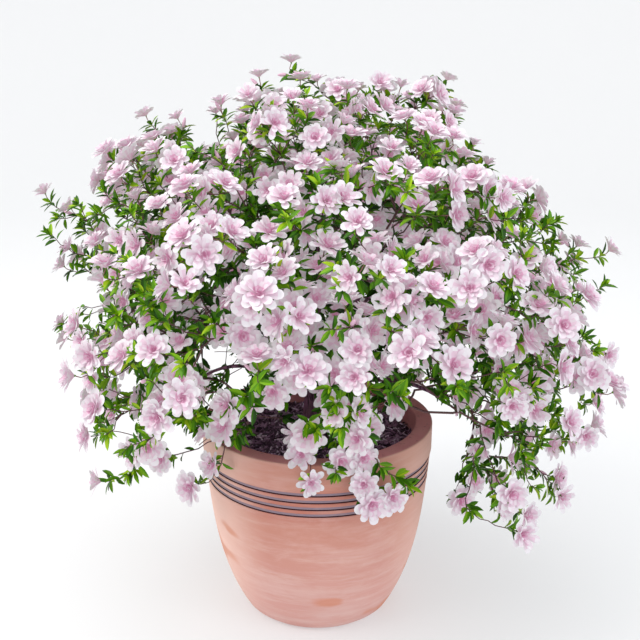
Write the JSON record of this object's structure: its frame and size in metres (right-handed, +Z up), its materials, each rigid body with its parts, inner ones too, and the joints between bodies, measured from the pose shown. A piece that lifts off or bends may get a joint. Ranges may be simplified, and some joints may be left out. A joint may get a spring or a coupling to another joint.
{
  "type": "azalea shrub",
  "caption": "Round flowering azalea shrub with double pink blossom over small green leaves, in a plain terracotta pot with a thick rim.",
  "frame": {"origin": "centre of the pot's flat underside, on the surface that it stands on", "axes": "+Z up along the pot's axis; -Y towards the side that the picture shows, +X to the right of it"},
  "size_m": [0.8054, 0.7385, 0.781],
  "materials": {
    "terracotta": "matte",
    "soil": "matte",
    "bark": "matte",
    "foliage": "matte",
    "blossom": "matte",
    "leaf": "satin"
  },
  "bodies": {
    "root": {"middle_1_bough": "bark", "middle_1_mass": "foliage", "middle_2_bough": "bark", "middle_2_mass": "foliage", "middle_3_bough": "bark", "middle_3_mass": "foliage", "middle_4_bough": "bark", "middle_4_mass": "foliage", "middle_5_bough": "bark", "middle_5_mass": "foliage", "middle_6_bough": "bark", "middle_6_mass": "foliage", "middle_7_bough": "bark", "middle_7_mass": "foliage", "pot": "terracotta", "skirt_1_bough": "bark", "skirt_1_mass": "foliage", "skirt_2_bough": "bark", "skirt_2_mass": "foliage", "skirt_3_bough": "bark", "skirt_3_mass": "foliage", "skirt_4_bough": "bark", "skirt_4_mass": "foliage", "skirt_5_bough": "bark", "skirt_5_mass": "foliage", "skirt_6_bough": "bark", "skirt_6_mass": "foliage", "skirt_7_bough": "bark", "skirt_7_mass": "foliage", "soil": "soil", "top_bough": "bark", "top_mass": "foliage", "trunk": "bark", "upper_1_bough": "bark", "upper_1_mass": "foliage", "upper_2_bough": "bark", "upper_2_mass": "foliage", "upper_3_bough": "bark", "upper_3_mass": "foliage", "upper_4_bough": "bark", "upper_4_mass": "foliage", "upper_5_bough": "bark", "upper_5_mass": "foliage"}
  },
  "joints": []
}
